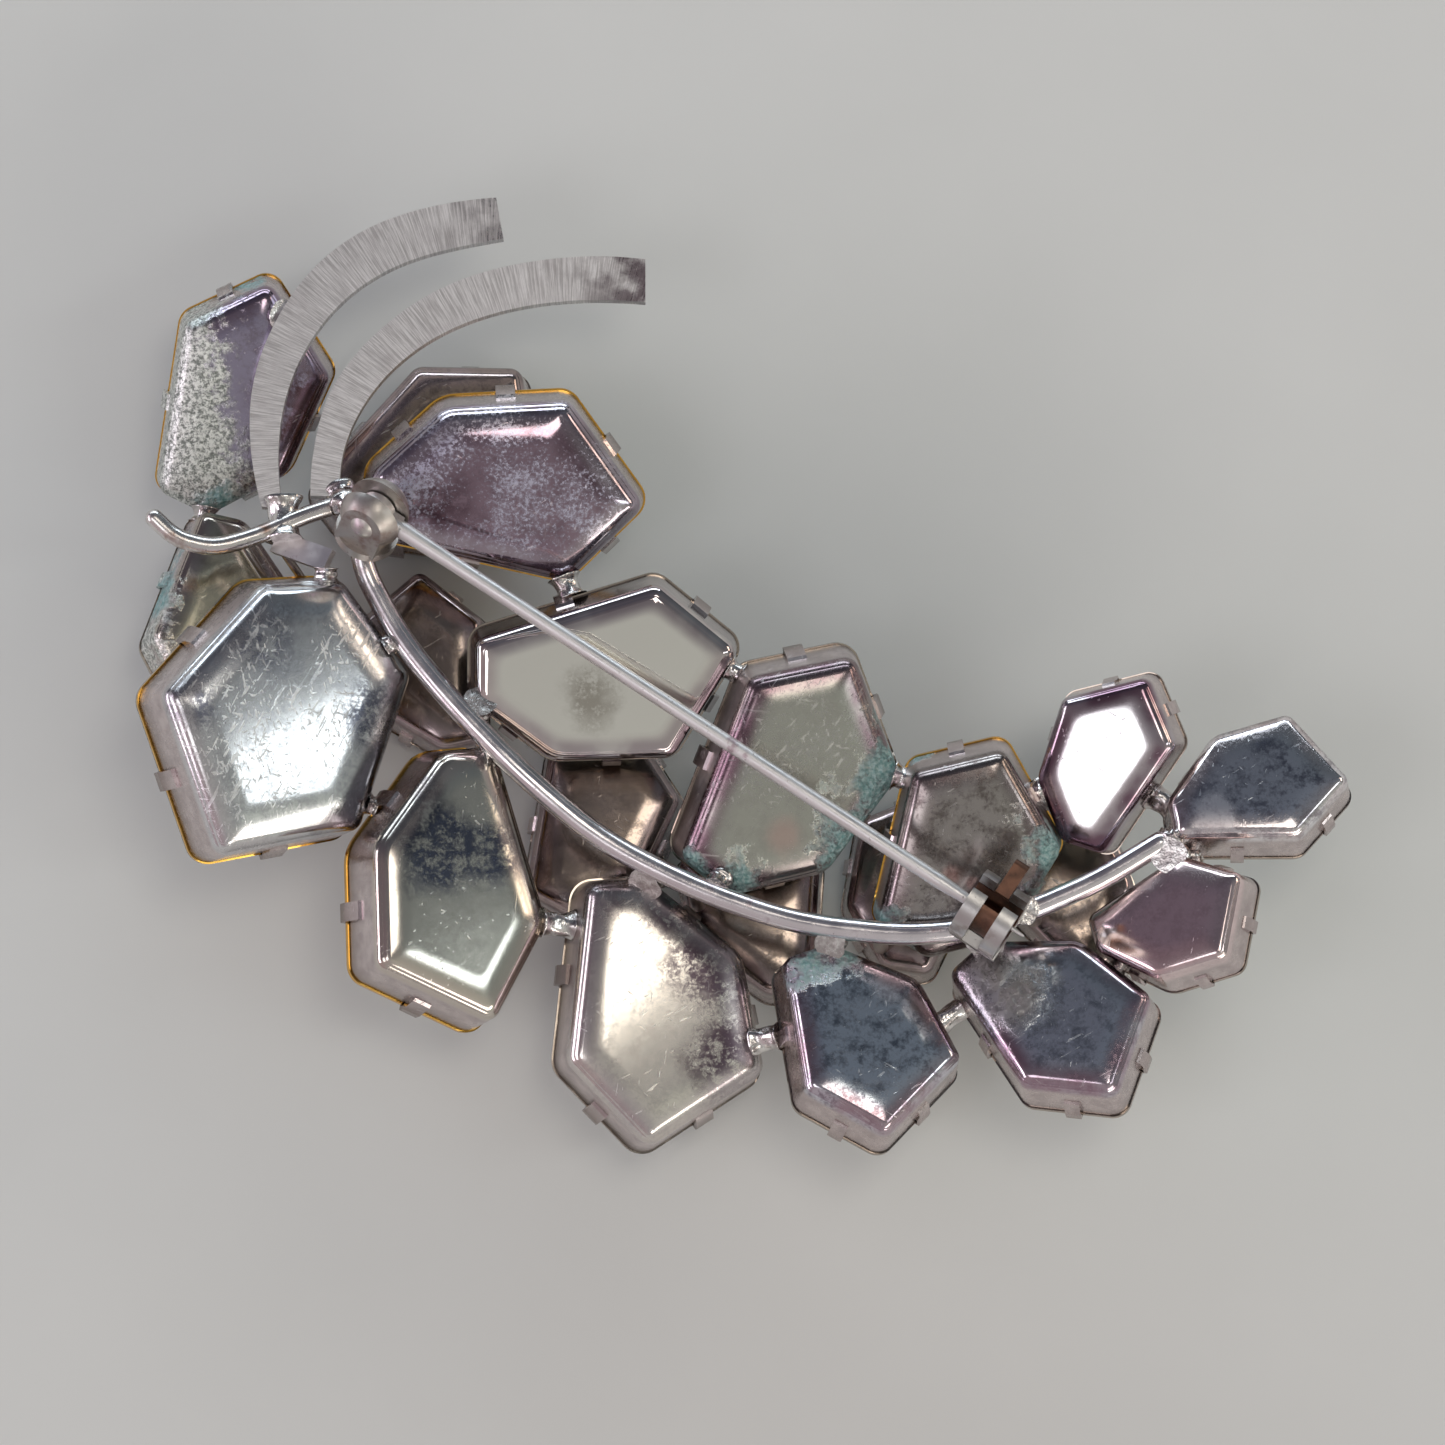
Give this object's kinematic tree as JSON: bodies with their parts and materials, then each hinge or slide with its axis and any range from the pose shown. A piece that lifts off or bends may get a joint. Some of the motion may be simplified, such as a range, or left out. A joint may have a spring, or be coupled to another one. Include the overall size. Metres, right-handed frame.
{
  "type": "leaf spray brooch",
  "caption": "Spray of leaf-shaped closed-back prong settings with fancy stones on a curved stem, with tendrils, a hinged pin and a rotating safety catch.",
  "frame": {"origin": "middle of the outline, on the surface that the front stones' tables rest on", "axes": "+X along the spray towards its tip, +Y towards the tendrils, +Z out of the back where the pin is"},
  "size_m": [0.0798, 0.0635, 0.0192],
  "materials": {
    "plated_cup": "tarnished bright plating, scratched and mottled",
    "plated_wire": "bright plating, worn",
    "satin_strip": "satin, brushed across the strip",
    "solder": "soft grey solder",
    "bare_copper": "copper-brown where the plating has worn off",
    "fancy_stone": "polished, foiled behind"
  },
  "bodies": {
    "frame": {"back_setting_01": "plated_cup", "back_setting_02": "plated_cup", "back_setting_03": "plated_cup", "back_setting_04": "plated_cup", "back_setting_05": "plated_cup", "back_setting_06": "plated_cup", "back_setting_07": "plated_cup", "back_setting_08": "plated_cup", "back_setting_09": "plated_cup", "back_setting_10": "plated_cup", "back_setting_11": "plated_cup", "back_setting_12": "plated_cup", "back_setting_13": "plated_cup", "back_setting_14": "plated_cup", "back_stone_01": "fancy_stone", "back_stone_02": "fancy_stone", "back_stone_03": "fancy_stone", "back_stone_04": "fancy_stone", "back_stone_05": "fancy_stone", "back_stone_06": "fancy_stone", "back_stone_07": "fancy_stone", "back_stone_08": "fancy_stone", "back_stone_09": "fancy_stone", "back_stone_10": "fancy_stone", "back_stone_11": "fancy_stone", "back_stone_12": "fancy_stone", "back_stone_13": "fancy_stone", "back_stone_14": "fancy_stone", "front_setting_1": "plated_cup", "front_setting_2": "plated_cup", "front_setting_3": "plated_cup", "front_setting_4": "plated_cup", "front_setting_5": "plated_cup", "front_setting_6": "plated_cup", "front_stone_1": "fancy_stone", "front_stone_2": "fancy_stone", "front_stone_3": "fancy_stone", "front_stone_4": "fancy_stone", "front_stone_5": "fancy_stone", "front_stone_6": "fancy_stone", "stem_wire": "plated_wire", "curl_wire": "plated_wire", "tendril_outer": "satin_strip", "tendril_inner": "satin_strip", "strut": "satin_strip", "braces": "satin_strip", "joint_cheeks": "plated_wire", "joint_rivet": "plated_wire", "catch_housing": "plated_wire", "solder_beads": "solder", "front_posts": "solder"},
    "pin": {"pin_stem": "plated_wire"},
    "rotor": {"catch_rotor": "bare_copper"}
  },
  "joints": [
    {"name": "pin_swing", "type": "hinge", "parent": "frame", "child": "pin", "pos_m": [-0.02377, 0.00948, 0.0169], "axis": [-0.4787, -0.7217, 0.5], "range_deg": [0, 85]},
    {"name": "rotor_turn", "type": "hinge", "parent": "frame", "child": "rotor", "pos_m": [0.01603, -0.01692, 0.0169], "axis": [0.8333, -0.5528, 0], "range_deg": [0, 145]}
  ]
}
